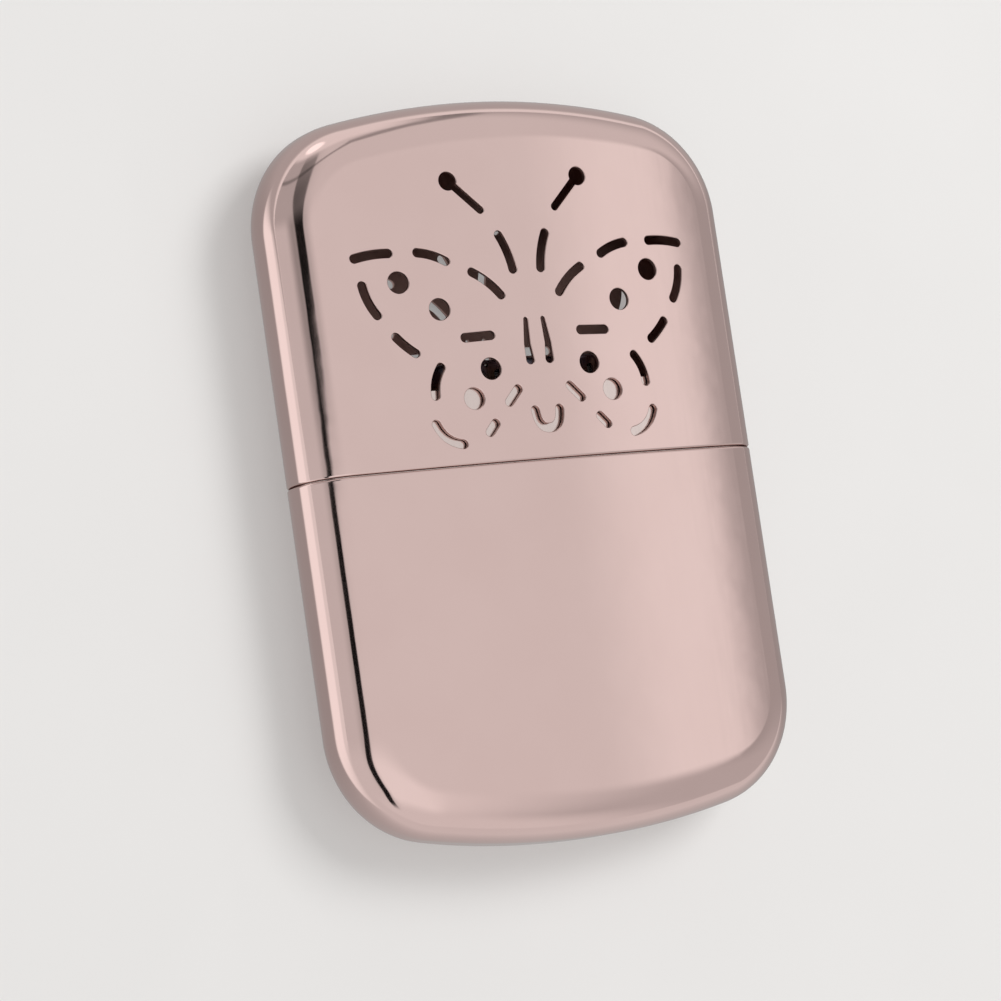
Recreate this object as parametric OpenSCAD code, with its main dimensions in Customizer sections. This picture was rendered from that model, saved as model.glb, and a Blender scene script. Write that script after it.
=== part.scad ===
// Pocket catalytic hand warmer: a pierced cap pushed over the collar of a fuel tank,
// with a lift-off catalytic burner on the filler neck.
// It lies on its back: X is its width, Y its length towards the cap, Z its thickness.
// The origin is under the middle of the case, on the surface that it lies on.

/* [Case] */
// Length of the closed case
case_length = 92; // [86:1:110]
// Width of the case
case_width = 65; // [60:1:76]
// Thickness at the middle, from the flat land of the back to the front
case_thickness = 15; // [14:0.5:19]
// Radius of the rounded edge that runs round the case
edge_radius = 6; // [4.5:0.25:6.5]
// Radius of the four corners, seen from the front
corner_radius = 13.8; // [10:0.2:18]
// Radius of the bowed top and bottom, seen from the front
end_radius = 110; // [80:1:200]
// Width of the flat land in the middle of the back
land_width = 12; // [4:1:20]
// Sheet thickness of the cap and the tank
shell_wall = 0.5; // [0.4:0.05:0.8]
// Gap between the edge of the cap and the edge of the tank
parting_gap = 0.4; // [0.1:0.05:0.6]

/* [Vents] */
// Width of the slots of the butterfly
slot_width = 1.1; // [0.6:0.05:1.4]
// Width of the slots of the feelers
feeler_width = 0.95; // [0.6:0.05:1.2]
// Diameter of the round tip of a feeler
feeler_tip_d = 2.3; // [1.4:0.1:3]
// Diameter of the round holes in the wings
eye_d = 2.7; // [1.5:0.1:3.2]
// Width of the two body slots at the head
body_slot_head = 0.5; // [0.3:0.05:0.8]
// Width of the two body slots at the tail
body_slot_tail = 1.15; // [0.6:0.05:1.4]

/* [Collar] */
// Height of the collar above the parting line
collar_height = 9.7; // [7:0.1:14]
// Depth of the collar inside the tank
collar_depth = 8; // [4:0.5:12]
// Sheet thickness of the collar
collar_wall = 0.5; // [0.4:0.05:0.7]
// Gap between the collar and the two shells
collar_clearance = 0.2; // [0.1:0.05:0.4]
// Height of the closing plate above the parting line
plate_height = 2; // [0.5:0.1:3]
// Thickness of the closing plate
plate_thickness = 0.6; // [0.4:0.05:1]

/* [Neck] */
// Width of the oblong filler neck
neck_width = 22; // [16:0.5:26]
// Thickness of the filler neck, front to back
neck_thickness = 7.6; // [6:0.1:8.4]
// Sheet thickness of the neck
neck_wall = 0.4; // [0.3:0.05:0.6]
// Height of the neck above the closing plate
neck_height = 5.6; // [4:0.1:7]
// Depth of the neck below the closing plate
neck_depth = 4; // [2:0.5:6]
// Overhang of the neck's flange, soldered under the closing plate
flange_overhang = 1.8; // [1:0.1:2.2]
// Gap in a soldered or pushed seat
seat_gap = 0.05; // [0.02:0.01:0.1]

/* [Wick] */
// Height of the gauze over the wick below the rim of the neck
gauze_recess = 0.6; // [0.2:0.1:1]
// Thickness of the gauze
gauze_thickness = 0.4; // [0.3:0.1:0.6]
// Diameter of the holes in the gauze
gauze_hole_d = 1; // [0.6:0.1:1.2]
// Distance between the holes in the gauze
gauze_pitch = 2; // [1.8:0.1:3]
// Gap round the soft cotton parts
cotton_gap = 0.3; // [0.2:0.05:0.6]
// Gap between the three batts of cotton
batt_gap = 0.2; // [0.1:0.05:0.5]

/* [Burner] */
// Sheet thickness of the skirt and the hood
burner_wall = 0.4; // [0.3:0.05:0.5]
// Sliding gap between the skirt and the neck
skirt_clearance = 0.1; // [0.06:0.02:0.2]
// Height of the skirt's edge above the closing plate
skirt_lift = 0.3; // [0.2:0.1:1]
// Width of the slits that make the skirt's spring fingers
slit_width = 0.6; // [0.4:0.1:1]
// Length of the slits
slit_length = 3.4; // [2:0.1:4]
// Thickness of the burner's base plate
base_thickness = 0.5; // [0.4:0.05:0.8]
// Width of the base plate and of the hood's flange
base_width = 31; // [30.5:0.5:34]
// Thickness of the base plate and of the hood's flange, front to back
base_depth = 10.6; // [10.2:0.1:11]
// Width of the hood
hood_width = 25; // [24:0.25:25.5]
// Thickness of the hood, front to back
hood_depth = 9; // [8.4:0.1:9.4]
// Height of the hood above the base plate
hood_height = 4.6; // [4.4:0.1:8]
// Width of a vent slot in the hood
hood_slot_width = 1; // [0.6:0.1:1.2]
// Number of vent slots along the hood
hood_slots = 9; // [5:1:10]
// Distance between the first and the last vent slot
hood_slot_span = 18; // [15:0.5:19]
// Thickness of the two wire grids
grid_thickness = 0.3; // [0.2:0.05:0.4]
// Diameter of the holes in the grids
grid_hole_d = 1.2; // [0.6:0.1:1.4]
// Distance between the holes in the grids
grid_pitch = 2.2; // [2:0.1:3]
// Diameter of the two wires that hold the catalyst down
wire_d = 0.5; // [0.4:0.05:0.6]
// Distance between the two wires
wire_spacing = 12; // [8:0.5:16]
// Diameter of the shank of the two rivets
rivet_d = 1.2; // [0.8:0.1:1.4]
// Diameter of the heads of the rivets
rivet_head_d = 2.1; // [1.6:0.1:2.2]
// Thickness of a rivet head
rivet_head = 0.35; // [0.25:0.05:0.5]
// Gap between a rivet head and the wall of the hood
rivet_gap = 0.45; // [0.2:0.05:0.8]
// Metal round a rivet head, in the base plate and in the hood's flange
rivet_land = 0.35; // [0.2:0.05:0.6]

/* [Hidden] */

metal = "silver";
bright = "gainsboro";
soft = "ivory";
cut_margin = 1;
arc_steps = 6;
corner_steps = 8;
end_steps = 4;
round_fn = 32;

// The edge's round is centred on this core outline, an edge radius inside the case.
core_x = case_width / 2 - edge_radius;
// The front and the back are crowned just enough to meet at the round edge.
face_rise = case_thickness / 2 - edge_radius;
face_radius = (core_x * core_x + face_rise * face_rise) / (2 * face_rise);
end_centre_y = case_length / 2 - end_radius;
corner_centre_x = case_width / 2 - corner_radius;
corner_centre_y = end_centre_y + sqrt(pow(end_radius - corner_radius, 2) - pow(corner_centre_x, 2));
corner_start = atan2(corner_centre_x, corner_centre_y - end_centre_y);
rim_angles = concat(
    [for (i = [0 : end_steps - 1]) corner_start * i / end_steps],
    [for (i = [0 : corner_steps]) corner_start + (90 - corner_start) * i / corner_steps]
);

// Heights along the length, from the parting line.
plate_top = plate_height + plate_thickness;
neck_top = plate_top + neck_height;
skirt_y = plate_top + skirt_lift;
base_y = neck_top + seat_gap;
hood_y = base_y + base_thickness;
hood_top = hood_y + hood_height;
support_y = hood_y + seat_gap;
wire_y = hood_top - burner_wall - seat_gap - wire_d / 2;
retaining_y = wire_y - wire_d / 2 - seat_gap - grid_thickness;
mat_y = support_y + grid_thickness + seat_gap;
mat_top = retaining_y - seat_gap;
gauze_y = neck_top - gauze_recess - gauze_thickness;
neck_bottom = plate_height - neck_depth;
batt_top = -collar_depth - cotton_gap;
wick_bottom = batt_top + batt_gap;

// Heights through the thickness.
function crown_drop(x) = face_radius - sqrt(face_radius * face_radius - x * x);
function front_core(x) = case_thickness - edge_radius - crown_drop(x);
function back_core(x) = edge_radius + max(0, crown_drop(x) - crown_drop(land_width / 2));
middle_z = case_thickness / 2;
batt_thickness = (case_thickness - 2 * (shell_wall + cotton_gap) - 2 * batt_gap) / 3;

// Insets of the collar and of what sits in it, from the outside of the case.
collar_inset = shell_wall + collar_clearance;
plate_inset = collar_inset + collar_wall + seat_gap;
cotton_inset = shell_wall + cotton_gap;

// The skirt, the hood and their plates across the neck.
skirt_inner_w = neck_width + 2 * skirt_clearance;
skirt_inner_t = neck_thickness + 2 * skirt_clearance;
wick_w = neck_width - 2 * (neck_wall + seat_gap);
wick_t = neck_thickness - 2 * (neck_wall + seat_gap);
mat_w = hood_width - 2 * (burner_wall + seat_gap);
mat_t = hood_depth - 2 * (burner_wall + seat_gap);
rivet_x = (hood_width + rivet_head_d) / 2 + rivet_gap;
hood_slot_pitch = hood_slot_span / (hood_slots - 1);

// Right half of the butterfly, in mm from the parting line and the centre line.
// Each slot is [inner or upper end, outer or lower end, rise of its curve].
wing_slots = [
    [[1.95, 23.8], [3.25, 28.1], 0.2],
    [[18.3, 26.65], [22.7, 26.25], 0.15],
    [[10.9, 25.25], [14.5, 26.5], 0.2],
    [[4.1, 20.7], [7.6, 23.7], 0.25],
    [[22.2, 22.9], [20.8, 19.2], 0.25],
    [[18.8, 16.35], [16.55, 14.25], 0.1],
    [[6.3, 15.8], [9.8, 15.7], 0],
    [[13.55, 12.3], [14.75, 8.9], 0.3],
    [[15.2, 5.4], [12, 2.75], 0.6],
    [[3.65, 8.95], [5.05, 7.45], 0],
    [[7.35, 4.95], [8.25, 3.95], 0]
];
feeler_slot = [[5.25, 31.35], [9.1, 35.1]];
body_slot = [[1.2, 17.5], [1.45, 14.5], [1.35, 12.5]];
tail_slot = [[-1.7, 6.2], [-1.5, 4.9], [-0.9, 4.1], [0, 3.9], [0.9, 4.1], [1.5, 4.9], [1.7, 6.2]];
wing_eyes = [[17.5, 23], [12.6, 19.4], [6.9, 11.7], [9.7, 8.2]];
curve_steps = 4;
cap_steps = 6;

// ---- The outline of the case ----

// A point of the core outline in the right upper quarter; angle 0 is at the top, 90 at the side.
function rim_core(angle) = angle < corner_start
    ? [0, end_centre_y] + (end_radius - edge_radius) * [sin(angle), cos(angle)]
    : [corner_centre_x, corner_centre_y] + (corner_radius - edge_radius) * [sin(angle), cos(angle)];

// Half a round edge, from the front face over the rim to the back face.
function edge_points(core, normal, inset) = let (r = edge_radius - inset)
    [for (face = [1, -1], i = [0 : arc_steps]) let (a = 90 * i / arc_steps)
        [
            core.x + normal.x * r * cos(a),
            core.y + normal.y * r * cos(a),
            face > 0 ? front_core(core.x) + r * sin(a) : back_core(core.x) - r * sin(a)
        ]];

// Every point of a half case that is closed at the top and cut off flat at open_y.
function half_case_points(inset, open_y) = [
    for (side = [1, -1], angle = rim_angles) let (c = rim_core(angle))
        each edge_points([side * c.x, c.y], [side * sin(angle), cos(angle)], inset),
    for (side = [1, -1]) each edge_points([side * core_x, open_y], [side, 0], inset),
    for (side = [1, -1], angle = rim_angles, face = [1, -1]) let (x = side * rim_core(angle).x)
        [x, open_y, face > 0 ? front_core(x) + edge_radius - inset : back_core(x) - edge_radius + inset]
];

module half_case(inset, open_y) {
    points = half_case_points(inset, open_y);
    hull() polyhedron(points = points, faces = [for (i = [0 : len(points) - 3]) [i, i + 1, i + 2]]);
}

// The section across the straight part of the case, as [x, z] points.
function section_points(inset) = let (r = edge_radius - inset, n = len(rim_angles) - 1) [
    for (i = [0 : arc_steps]) let (a = 90 * i / arc_steps)
        [core_x + r * cos(a), front_core(core_x) + r * sin(a)],
    for (i = [n - 1 : -1 : 0]) let (x = rim_core(rim_angles[i]).x) [x, front_core(x) + r],
    for (i = [1 : n - 1]) let (x = -rim_core(rim_angles[i]).x) [x, front_core(x) + r],
    for (i = [arc_steps : -1 : 0]) let (a = 90 * i / arc_steps)
        [-core_x - r * cos(a), front_core(core_x) + r * sin(a)],
    for (i = [0 : arc_steps]) let (a = 90 * i / arc_steps)
        [-core_x - r * cos(a), back_core(core_x) - r * sin(a)],
    for (i = [n - 1 : -1 : 0]) let (x = -rim_core(rim_angles[i]).x) [x, back_core(x) - r],
    for (i = [1 : n - 1]) let (x = rim_core(rim_angles[i]).x) [x, back_core(x) - r],
    for (i = [arc_steps : -1 : 0]) let (a = 90 * i / arc_steps)
        [core_x + r * cos(a), back_core(core_x) - r * sin(a)]
];

// A flat shape, drawn in X and Z, drawn out along Y from y0 to y1.
module along_y(y0, y1) {
    translate([0, y1, 0]) rotate([90, 0, 0]) linear_extrude(y1 - y0) children();
}

module case_prism(inset, y0, y1) {
    along_y(y0, y1) polygon(section_points(inset));
}

// ---- Slots and oblongs ----

function unit(v) = v / norm(v);
function turned(v, angle) = [v.x * cos(angle) - v.y * sin(angle), v.x * sin(angle) + v.y * cos(angle)];
function path_direction(path, i) = unit(path[min(i + 1, len(path) - 1)] - path[max(i - 1, 0)]);

// A line from a to b that rises to its left by the given amount in the middle.
function curved_path(a, b, rise) = [for (i = [0 : curve_steps]) let (t = i / curve_steps)
    a + (b - a) * t + turned(unit(b - a), 90) * 4 * rise * t * (1 - t)];

// The outline of a slot with round ends, w0 wide at its start and w1 wide at its end.
function slot_points(path, w0, w1) = let (n = len(path) - 1) [
    for (i = [0 : n]) path[i] + turned(path_direction(path, i), -90) * (w0 + (w1 - w0) * i / n) / 2,
    for (i = [1 : cap_steps - 1])
        path[n] + turned(path_direction(path, n), -90 + 180 * i / cap_steps) * w1 / 2,
    for (i = [n : -1 : 0]) path[i] + turned(path_direction(path, i), 90) * (w0 + (w1 - w0) * i / n) / 2,
    for (i = [1 : cap_steps - 1])
        path[0] + turned(path_direction(path, 0), 90 + 180 * i / cap_steps) * w0 / 2
];

// An oblong of the given width and thickness, centred on the middle of the case, in X and Z.
module oblong(width, thickness) {
    reach = (width - thickness) / 2;
    translate([0, middle_z]) polygon(slot_points([[-reach, 0], [reach, 0]], thickness, thickness));
}

// A rectangular field of round holes along Y, inside an oblong of the given size.
module hole_field(width, thickness, hole_d, pitch, y0, y1) {
    columns = floor((width - thickness - hole_d) / pitch / 2);
    rows = floor((thickness - 2 * hole_d) / pitch / 2);
    for (column = [-columns : columns], row = [-rows : rows])
        translate([column * pitch, y1 + cut_margin, middle_z + row * pitch])
            rotate([90, 0, 0])
                cylinder(h = y1 - y0 + 2 * cut_margin, d = hole_d, $fn = round_fn);
}

module butterfly() {
    for (side = [1, -1]) scale([side, 1, 1]) {
        for (s = wing_slots) polygon(slot_points(curved_path(s[0], s[1], s[2]), slot_width, slot_width));
        polygon(slot_points(feeler_slot, feeler_width, feeler_width));
        translate(feeler_slot[1]) circle(d = feeler_tip_d, $fn = round_fn);
        polygon(slot_points(body_slot, body_slot_head, body_slot_tail));
        for (eye = wing_eyes) translate(eye) circle(d = eye_d, $fn = round_fn);
    }
    polygon(slot_points(tail_slot, slot_width, slot_width));
}

// ---- The cap ----

module cap_shell() {
    color(metal) difference() {
        half_case(0, parting_gap / 2);
        half_case(shell_wall, -cut_margin);
        translate([0, 0, -cut_margin]) linear_extrude(case_thickness + 2 * cut_margin) butterfly();
    }
}

// ---- The tank ----

module tank_shell() {
    color(metal) mirror([0, 1, 0]) difference() {
        half_case(0, parting_gap / 2);
        half_case(shell_wall, -cut_margin);
    }
}

module tank_collar() {
    color(bright) difference() {
        case_prism(collar_inset, -collar_depth, collar_height);
        case_prism(collar_inset + collar_wall, -collar_depth - cut_margin, collar_height + cut_margin);
    }
}

module closing_plate() {
    color(bright) difference() {
        case_prism(plate_inset, plate_height, plate_top);
        along_y(plate_height - cut_margin, plate_top + cut_margin)
            oblong(neck_width + 2 * seat_gap, neck_thickness + 2 * seat_gap);
    }
}

module filler_neck() {
    flange_top = plate_height - seat_gap;
    color(bright) difference() {
        union() {
            along_y(neck_bottom, neck_top) oblong(neck_width, neck_thickness);
            along_y(flange_top - neck_wall, flange_top)
                oblong(neck_width + 2 * flange_overhang, neck_thickness + 2 * flange_overhang);
        }
        along_y(neck_bottom - cut_margin, neck_top + cut_margin)
            oblong(neck_width - 2 * neck_wall, neck_thickness - 2 * neck_wall);
    }
}

module wick_plug() {
    color(soft) along_y(wick_bottom, gauze_y - seat_gap) oblong(wick_w, wick_t);
}

module wick_gauze() {
    color(metal) difference() {
        along_y(gauze_y, gauze_y + gauze_thickness) oblong(wick_w, wick_t);
        hole_field(wick_w, wick_t, gauze_hole_d, gauze_pitch, gauze_y, gauze_y + gauze_thickness);
    }
}

// One of three batts of cotton that fill the tank, 0 at the back and 2 at the front.
module cotton_batt(layer) {
    low = shell_wall + cotton_gap + layer * (batt_thickness + batt_gap);
    intersection() {
        mirror([0, 1, 0]) half_case(cotton_inset, -batt_top);
        translate([-case_width / 2, -case_length / 2, low]) cube([case_width, case_length, batt_thickness]);
    }
}

module cotton_batt_front() {
    color(soft) cotton_batt(2);
}

module cotton_batt_middle() {
    color(soft) cotton_batt(1);
}

module cotton_batt_back() {
    color(soft) cotton_batt(0);
}

// ---- The burner ----

module burner_skirt() {
    finger_x = skirt_inner_w / 4;
    color(metal) difference() {
        along_y(skirt_y, base_y)
            oblong(skirt_inner_w + 2 * burner_wall, skirt_inner_t + 2 * burner_wall);
        along_y(skirt_y - cut_margin, base_y + cut_margin) oblong(skirt_inner_w, skirt_inner_t);
        for (x = [-finger_x, 0, finger_x])
            translate([x - slit_width / 2, skirt_y - cut_margin, 0])
                cube([slit_width, slit_length + cut_margin, case_thickness]);
    }
}

// The outline of the base plate and of the hood's flange, with enough metal round each rivet.
module flange_outline() {
    oblong(base_width, base_depth);
    for (side = [1, -1])
        translate([side * rivet_x, middle_z]) circle(d = rivet_head_d + 2 * rivet_land, $fn = round_fn);
}

module burner_base_plate() {
    color(metal) difference() {
        along_y(base_y, hood_y) flange_outline();
        along_y(base_y - cut_margin, hood_y + cut_margin) oblong(wick_w, wick_t);
        rivet_holes(base_y, hood_y);
    }
}

module burner_hood() {
    flange_y = hood_y + burner_wall;
    slot_reach = (hood_slot_span + hood_slot_width) / 2;
    slot_low = flange_y + burner_wall;
    color(metal) difference() {
        union() {
            along_y(hood_y, flange_y) flange_outline();
            along_y(hood_y, hood_top) oblong(hood_width, hood_depth);
        }
        along_y(hood_y - cut_margin, hood_top - burner_wall)
            oblong(hood_width - 2 * burner_wall, hood_depth - 2 * burner_wall);
        for (i = [0 : hood_slots - 1]) translate([i * hood_slot_pitch - slot_reach, 0, 0]) {
            translate([0, slot_low, 0]) cube([hood_slot_width, retaining_y - slot_low, case_thickness]);
            translate([0, hood_top - cut_margin, middle_z - hood_depth / 4])
                cube([hood_slot_width, 2 * cut_margin, hood_depth / 2]);
        }
        wire_pair(wire_d + 2 * seat_gap, hood_depth + 2 * cut_margin);
        rivet_holes(hood_y, flange_y);
    }
}

module rivet_holes(y0, y1) {
    for (side = [1, -1])
        translate([side * rivet_x, y1 + cut_margin, middle_z])
            rotate([90, 0, 0])
                cylinder(h = y1 - y0 + 2 * cut_margin, d = rivet_d + 2 * seat_gap, $fn = round_fn);
}

module burner_rivets() {
    low = base_y - seat_gap;
    high = hood_y + burner_wall + seat_gap;
    color(bright) for (side = [1, -1]) translate([side * rivet_x, high, middle_z]) rotate([90, 0, 0]) {
        cylinder(h = high - low, d = rivet_d, $fn = round_fn);
        translate([0, 0, -rivet_head]) cylinder(h = rivet_head, d = rivet_head_d, $fn = round_fn);
        translate([0, 0, high - low]) cylinder(h = rivet_head, d = rivet_head_d, $fn = round_fn);
    }
}

// A flat wire grid inside the hood, from y0 upwards.
module grid(y0) {
    color(bright) difference() {
        along_y(y0, y0 + grid_thickness) oblong(mat_w, mat_t);
        hole_field(mat_w, mat_t, grid_hole_d, grid_pitch, y0, y0 + grid_thickness);
    }
}

module support_grid() {
    grid(support_y);
}

module retaining_grid() {
    grid(retaining_y);
}

module catalyst_mat() {
    color("gray") along_y(mat_y, mat_top) oblong(mat_w, mat_t);
}

module wire_pair(diameter, length) {
    for (side = [1, -1])
        translate([side * wire_spacing / 2, wire_y, middle_z - length / 2])
            cylinder(h = length, d = diameter, $fn = round_fn);
}

module retaining_wires() {
    color(bright) wire_pair(wire_d, hood_depth);
}

tank_shell();
tank_collar();
closing_plate();
filler_neck();
wick_plug();
wick_gauze();
cotton_batt_front();
cotton_batt_middle();
cotton_batt_back();
cap_shell();
burner_skirt();
burner_base_plate();
burner_hood();
burner_rivets();
support_grid();
catalyst_mat();
retaining_grid();
retaining_wires();
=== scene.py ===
"""Pocket catalytic hand warmer: pierced cap, tank with collar, lift-off burner, cotton and wick.

Every piece is modelled in millimetres in the frame of the CAD model and brought to metres at the end.
The case is modelled as a flat-faced box with round edges first, and then bent to its crowned faces.
"""
import math

import bmesh
import bpy
from mathutils import Matrix, Vector, noise


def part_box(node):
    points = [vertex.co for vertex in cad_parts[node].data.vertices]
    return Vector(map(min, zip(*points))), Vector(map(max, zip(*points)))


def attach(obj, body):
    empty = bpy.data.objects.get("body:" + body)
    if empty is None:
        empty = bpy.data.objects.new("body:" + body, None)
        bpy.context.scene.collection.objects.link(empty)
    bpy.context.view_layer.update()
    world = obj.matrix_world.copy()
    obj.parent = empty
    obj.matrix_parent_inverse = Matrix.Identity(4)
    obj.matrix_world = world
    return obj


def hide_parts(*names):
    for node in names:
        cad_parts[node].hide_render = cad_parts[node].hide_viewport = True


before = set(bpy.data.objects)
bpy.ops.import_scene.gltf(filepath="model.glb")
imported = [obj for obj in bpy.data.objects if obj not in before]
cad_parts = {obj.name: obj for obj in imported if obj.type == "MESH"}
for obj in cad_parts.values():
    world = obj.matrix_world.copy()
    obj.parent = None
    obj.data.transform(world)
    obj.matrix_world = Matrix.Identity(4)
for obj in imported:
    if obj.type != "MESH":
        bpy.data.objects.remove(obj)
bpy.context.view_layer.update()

MM = 0.001
X = Vector((1, 0, 0))
Y = Vector((0, 1, 0))
Z = Vector((0, 0, 1))


def box_mm(node):
    """Lowest and highest corner of a node of the CAD model, in millimetres."""
    low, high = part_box(node)
    return Vector(low) / MM, Vector(high) / MM


# ---- Sizes of the case, in millimetres ----

cap_low, cap_high = box_mm("cap_shell")
tank_low, tank_high = box_mm("tank_shell")
HALF_WIDTH = cap_high.x
THICKNESS = cap_high.z
CASE_END = cap_high.y
LIP_Y = cap_low.y
EDGE_RADIUS = 6.0
CORNER_RADIUS = 13.8
END_RADIUS = 110.0
LAND_WIDTH = 12.0
SHELL_WALL = 0.5
MIDDLE_Z = THICKNESS / 2

CORE_X = HALF_WIDTH - EDGE_RADIUS
FACE_RISE = THICKNESS / 2 - EDGE_RADIUS
FACE_RADIUS = (CORE_X**2 + FACE_RISE**2) / (2 * FACE_RISE)
END_CENTRE_Y = CASE_END - END_RADIUS
CORNER_X = HALF_WIDTH - CORNER_RADIUS
CORNER_Y = END_CENTRE_Y + math.sqrt((END_RADIUS - CORNER_RADIUS) ** 2 - CORNER_X**2)
CORNER_START = math.atan2(CORNER_X, CORNER_Y - END_CENTRE_Y)

# ---- How finely the shapes are divided ----

END_STEPS = 14
CORNER_STEPS = 26
EDGE_SEGMENTS = 14
CROWN_STEP = 2.0
SLOT_CAP_SEGMENTS = 8
HOLE_SEGMENTS = 40
OBLONG_SEGMENTS = 56
FILLET_STEPS = 4
TURNED_STEPS = 24
WELD = 1e-4
SKIN_TOLERANCE = 0.02
SHARP_ANGLE = 40
NORMAL_MATCH = 0.9

# ---- Vents: the right half of the butterfly, from the parting line and the centre line ----

SLOT_WIDTH = 1.1
FEELER_WIDTH = 0.95
FEELER_TIP = 2.3
EYE_DIAMETER = 2.7
BODY_SLOT_HEAD = 0.5
BODY_SLOT_TAIL = 1.15
ROLLED_EDGE = 0.15
ROLL_STEPS = 5

# Each slot: inner or upper end, outer or lower end, and the rise of its curve to the left of the way
# from one to the other.
WING_SLOTS = [
    ((1.95, 23.8), (3.25, 28.1), 0.2),
    ((18.3, 26.65), (22.7, 26.25), 0.15),
    ((10.9, 25.25), (14.5, 26.5), 0.2),
    ((4.1, 20.7), (7.6, 23.7), 0.25),
    ((22.2, 22.9), (20.8, 19.2), 0.25),
    ((18.8, 16.35), (16.55, 14.25), 0.1),
    ((6.3, 15.8), (9.8, 15.7), 0.0),
    ((13.55, 12.3), (14.75, 8.9), 0.3),
    ((15.2, 5.4), (12.0, 2.75), 0.6),
    ((3.65, 8.95), (5.05, 7.45), 0.0),
    ((7.35, 4.95), (8.25, 3.95), 0.0),
]
FEELER_SLOT = ((5.25, 31.35), (9.1, 35.1))
BODY_SLOT = [(1.2, 17.5), (1.45, 14.5), (1.35, 12.5)]
TAIL_SLOT = [(1.7, 6.2), (1.5, 4.9), (0.9, 4.1), (0.0, 3.9), (-0.9, 4.1), (-1.5, 4.9), (-1.7, 6.2)]
WING_EYES = [(17.5, 23.0), (12.6, 19.4), (6.9, 11.7), (9.7, 8.2)]

# =====================================================================================
# Helpers for meshes
# =====================================================================================


def verts_of(geometry):
    return [g for g in geometry if isinstance(g, bmesh.types.BMVert)]


def edges_of(geometry):
    return [g for g in geometry if isinstance(g, bmesh.types.BMEdge)]


def faces_of(geometry):
    return [g for g in geometry if isinstance(g, bmesh.types.BMFace)]


def bevel(bm, geometry, offset, segments, affect="EDGES"):
    return bmesh.ops.bevel(
        bm, geom=geometry, offset=offset, offset_type="OFFSET", segments=segments,
        profile=0.5, affect=affect, clamp_overlap=False, material=-1,
    )


def extrude_face(bm, face, way, keep=False):
    """Draws a face out by a vector and gives back the moved face."""
    made = bmesh.ops.extrude_face_region(bm, geom=[face], use_keep_orig=keep)["geom"]
    bmesh.ops.translate(bm, vec=way, verts=verts_of(made))
    if not keep and face.is_valid:
        bmesh.ops.delete(bm, geom=[face], context="FACES_ONLY")
    return faces_of(made)[0]


def solid_between(bm, face, way):
    """Turns one flat face into a closed prism."""
    extrude_face(bm, face, way, keep=True)
    outward(bm)


def outward(bm):
    """Turns every closed shell of a mesh the right way out."""
    bmesh.ops.recalc_face_normals(bm, faces=bm.faces)
    waiting = set(bm.faces)
    while waiting:
        shell, edge_of_search = [], [waiting.pop()]
        while edge_of_search:
            face = edge_of_search.pop()
            shell.append(face)
            beside = {f for e in face.edges for f in e.link_faces if f in waiting}
            waiting -= beside
            edge_of_search += beside
        volume = sum(f.calc_area() * f.normal.dot(f.calc_center_median()) for f in shell) / 3
        if volume < 0:
            bmesh.ops.reverse_faces(bm, faces=shell)


def object_of(bm, name):
    mesh = bpy.data.meshes.new(name)
    bm.to_mesh(mesh)
    bm.free()
    obj = bpy.data.objects.new(name, mesh)
    bpy.context.scene.collection.objects.link(obj)
    return obj


def applied(obj):
    """Applies an object's modifiers to its mesh."""
    evaluated = obj.evaluated_get(bpy.context.evaluated_depsgraph_get())
    mesh = bpy.data.meshes.new_from_object(evaluated)
    obj.modifiers.clear()
    old, obj.data = obj.data, mesh
    bpy.data.meshes.remove(old)
    return obj


def subtract(obj, cutter):
    """Cuts one mesh out of another and removes the cutter."""
    cut = obj.modifiers.new("cut", "BOOLEAN")
    cut.operation = "DIFFERENCE"
    cut.solver = "EXACT"
    cut.object = cutter
    applied(obj)
    bpy.data.objects.remove(cutter)
    return obj


def oblong_of(node):
    """Half length between the round ends, radius, lowest and highest Y of an oblong node, in mm."""
    low, high = box_mm(node)
    radius = (high.z - low.z) / 2
    return high.x - radius, radius, low.y, high.y


def rounded(points):
    """A closed row of points (a, b, c, fillet) with each corner turned into an arc of its fillet."""
    out = []
    for i, (*here, fillet) in enumerate(points):
        here = Vector(here)
        if not fillet:
            out.append(here)
            continue
        back = (Vector(points[i - 1][:3]) - here).normalized()
        on = (Vector(points[(i + 1) % len(points)][:3]) - here).normalized()
        half = back.angle(on) / 2
        centre = here + (back + on).normalized() * fillet / math.sin(half)
        start = here + back * fillet / math.tan(half) - centre
        end = here + on * fillet / math.tan(half) - centre
        for k in range(FILLET_STEPS + 1):
            turn = Matrix.Rotation(start.angle(end) * k / FILLET_STEPS, 3, start.cross(end))
            out.append(centre + turn @ start)
    return out


def levels(bm, edges, stations, moved, ring=False):
    """Draws a loop of edges on from station to station; moved(place, before, here) places a vertex."""
    first = edges
    if ring:
        stations = [*stations, stations[0]]
    for before, here in zip(stations, stations[1:]):
        made = bmesh.ops.extrude_edge_only(bm, edges=edges)["geom"]
        fresh = set(verts_of(made))
        edges = [e for e in edges_of(made) if fresh.issuperset(e.verts)]
        for vertex in fresh:
            vertex.co = moved(vertex.co, before, here)
    if ring:
        bmesh.ops.remove_doubles(bm, verts=bm.verts, dist=WELD)
    else:
        bmesh.ops.contextual_create(bm, geom=first)
        bmesh.ops.contextual_create(bm, geom=edges)
    outward(bm)


def oblong_move(place, before, here):
    """From one oblong (reach, radius, height) to another."""
    side = math.copysign(1, place.x)
    offset = place - Vector((side * before.x, before.z, MIDDLE_Z))
    return Vector((side * here.x, here.z, MIDDLE_Z)) + offset * here.y / before.y


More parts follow.
